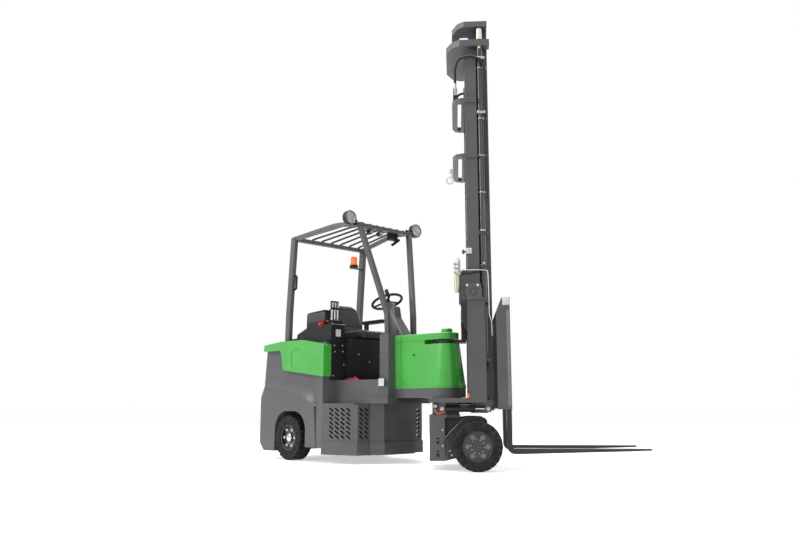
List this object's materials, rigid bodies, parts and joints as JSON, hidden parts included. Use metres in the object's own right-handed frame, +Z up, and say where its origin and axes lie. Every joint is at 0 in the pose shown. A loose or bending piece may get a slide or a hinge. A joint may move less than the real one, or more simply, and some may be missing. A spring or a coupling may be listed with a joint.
{
  "type": "articulated forklift",
  "caption": "Narrow-aisle forklift hinged behind its front wheels, with a nested lifting mast, two forks, an open driver's place and an overhead guard.",
  "frame": {"origin": "bottom centre of the parked truck's box, on the floor", "axes": "+X forward along the chassis, +Z up; the front unit is parked turned to the left"},
  "size_m": [3.565, 1.9882, 4.012],
  "materials": {
    "painted_body": "satin",
    "green_cover": "gloss",
    "battery_case": "satin",
    "black_panel": "matte",
    "red_mat": "matte",
    "tyre": "matte",
    "hose": "matte",
    "rim": "satin",
    "vinyl": "satin",
    "mast_paint": "satin",
    "fork_black": "satin",
    "steel": "satin",
    "chrome": "polished",
    "lamp": "gloss",
    "amber": "gloss",
    "dark_metal": "satin"
  },
  "bodies": {
    "chassis": {"rear_body": "painted_body", "battery": "battery_case", "deck": "black_panel", "rear_axle": "dark_metal", "side_cover_right": "green_cover", "side_cover_left": "green_cover", "step_box": "painted_body", "main_plate": "painted_body", "cab_floor": "painted_body", "floor_mat": "red_mat", "bulkhead": "painted_body", "driver_controls": "black_panel", "nose_band": "painted_body", "nose_housing": "green_cover", "nose_cap": "green_cover", "guard_frame": "painted_body", "roof_bars": "dark_metal", "work_lamps": "lamp", "guard_fittings": "black_panel", "beacon_dome": "amber", "seat_pedestal": "black_panel", "seat_cushion": "vinyl", "seat_back": "vinyl", "rear_cabinet": "black_panel", "side_console": "black_panel", "steering_column": "mast_paint"},
    "handwheel": {"handwheel": "black_panel"},
    "rear_wheel_right": {"tyre_rear_right": "tyre", "rim_rear_right": "rim"},
    "rear_wheel_left": {"tyre_rear_left": "tyre", "rim_rear_left": "rim"},
    "front_unit": {"axle_frame": "painted_body", "platform": "painted_body", "front_axle": "dark_metal", "towers": "mast_paint", "upper_arm": "dark_metal"},
    "front_wheel_right": {"tyre_front_right": "tyre", "rim_front_right": "rim"},
    "front_wheel_left": {"tyre_front_left": "tyre", "rim_front_left": "rim"},
    "tilt_barrel_right": {"tilt_barrel_right": "dark_metal"},
    "tilt_barrel_left": {"tilt_barrel_left": "dark_metal"},
    "tilt_rod_right": {"tilt_rod_right": "chrome"},
    "tilt_rod_left": {"tilt_rod_left": "chrome"},
    "outer_mast": {"outer_rails": "mast_paint", "outer_crossbars": "mast_paint", "lift_barrels": "dark_metal", "mast_hoses": "hose"},
    "intermediate_mast": {"lift_rods": "chrome", "intermediate_rails": "mast_paint", "intermediate_crossbars": "mast_paint", "intermediate_rollers": "steel"},
    "inner_mast": {"inner_rails": "mast_paint", "inner_crossbars": "mast_paint", "inner_rollers": "steel"},
    "carriage": {"carriage_frame": "mast_paint", "carriage_rollers": "steel", "load_backrest": "fork_black", "fork_right": "fork_black", "fork_left": "fork_black"}
  },
  "joints": [
    {"name": "articulation", "type": "hinge", "parent": "chassis", "child": "front_unit", "pos_m": [0.34754, -0.38806, 0.575], "axis": [0, 0, 1], "range_deg": [-133.46, 46.54]},
    {"name": "rear_wheel_right_spin", "type": "hinge", "parent": "chassis", "child": "rear_wheel_right", "pos_m": [-1.28146, -0.90806, 0.2177], "axis": [0, 1, 0], "continuous": true},
    {"name": "rear_wheel_left_spin", "type": "hinge", "parent": "chassis", "child": "rear_wheel_left", "pos_m": [-1.28146, 0.13194, 0.2177], "axis": [0, 1, 0], "continuous": true},
    {"name": "front_wheel_right_spin", "type": "hinge", "parent": "front_unit", "child": "front_wheel_right", "pos_m": [0.8567, -0.56409, 0.203], "axis": [-0.6878, 0.7259, 0], "continuous": true},
    {"name": "front_wheel_left_spin", "type": "hinge", "parent": "front_unit", "child": "front_wheel_left", "pos_m": [0.19912, 0.12983, 0.203], "axis": [-0.6878, 0.7259, 0], "continuous": true},
    {"name": "handwheel_turn", "type": "hinge", "parent": "chassis", "child": "handwheel", "pos_m": [-0.47446, -0.38806, 1.545], "axis": [-0.3872, 0, 0.922], "continuous": true},
    {"name": "mast_tilt", "type": "hinge", "parent": "front_unit", "child": "outer_mast", "pos_m": [0.51811, -0.22642, 1.49], "axis": [-0.6878, 0.7259, 0], "range_deg": [-3, 1]},
    {"name": "intermediate_lift", "type": "slide", "parent": "outer_mast", "child": "intermediate_mast", "axis": [0, 0, 1], "range_m": [0, 2.4]},
    {"name": "inner_lift", "type": "slide", "parent": "intermediate_mast", "child": "inner_mast", "axis": [0, 0, 1], "range_m": [0, 2.4]},
    {"name": "carriage_lift", "type": "slide", "parent": "inner_mast", "child": "carriage", "axis": [0, 0, 1], "range_m": [-0.095, 2.4]},
    {"name": "tilt_barrel_right_pivot", "type": "hinge", "parent": "front_unit", "child": "tilt_barrel_right", "pos_m": [0.56808, -0.6833, 0.505], "axis": [-0.6878, 0.7259, 0], "range_deg": [-1.2, 0.5]},
    {"name": "tilt_rod_right_slide", "type": "slide", "parent": "tilt_barrel_right", "child": "tilt_rod_right", "axis": [0.7259, 0.6878, 0], "range_m": [-0.02, 0.055]},
    {"name": "tilt_barrel_left_pivot", "type": "hinge", "parent": "front_unit", "child": "tilt_barrel_left", "pos_m": [0.06457, -0.15198, 0.505], "axis": [-0.6878, 0.7259, 0], "range_deg": [-1.2, 0.5]},
    {"name": "tilt_rod_left_slide", "type": "slide", "parent": "tilt_barrel_left", "child": "tilt_rod_left", "axis": [0.7259, 0.6878, 0], "range_m": [-0.02, 0.055]}
  ],
  "couplings": [
    {"joint": "inner_lift", "follows": "intermediate_lift", "ratio": 1},
    {"joint": "tilt_barrel_right_pivot", "follows": "mast_tilt", "ratio": 0.3},
    {"joint": "tilt_rod_right_slide", "follows": "mast_tilt", "m_per_rad": -0.985},
    {"joint": "tilt_barrel_left_pivot", "follows": "mast_tilt", "ratio": 0.3},
    {"joint": "tilt_rod_left_slide", "follows": "mast_tilt", "m_per_rad": -0.985}
  ]
}
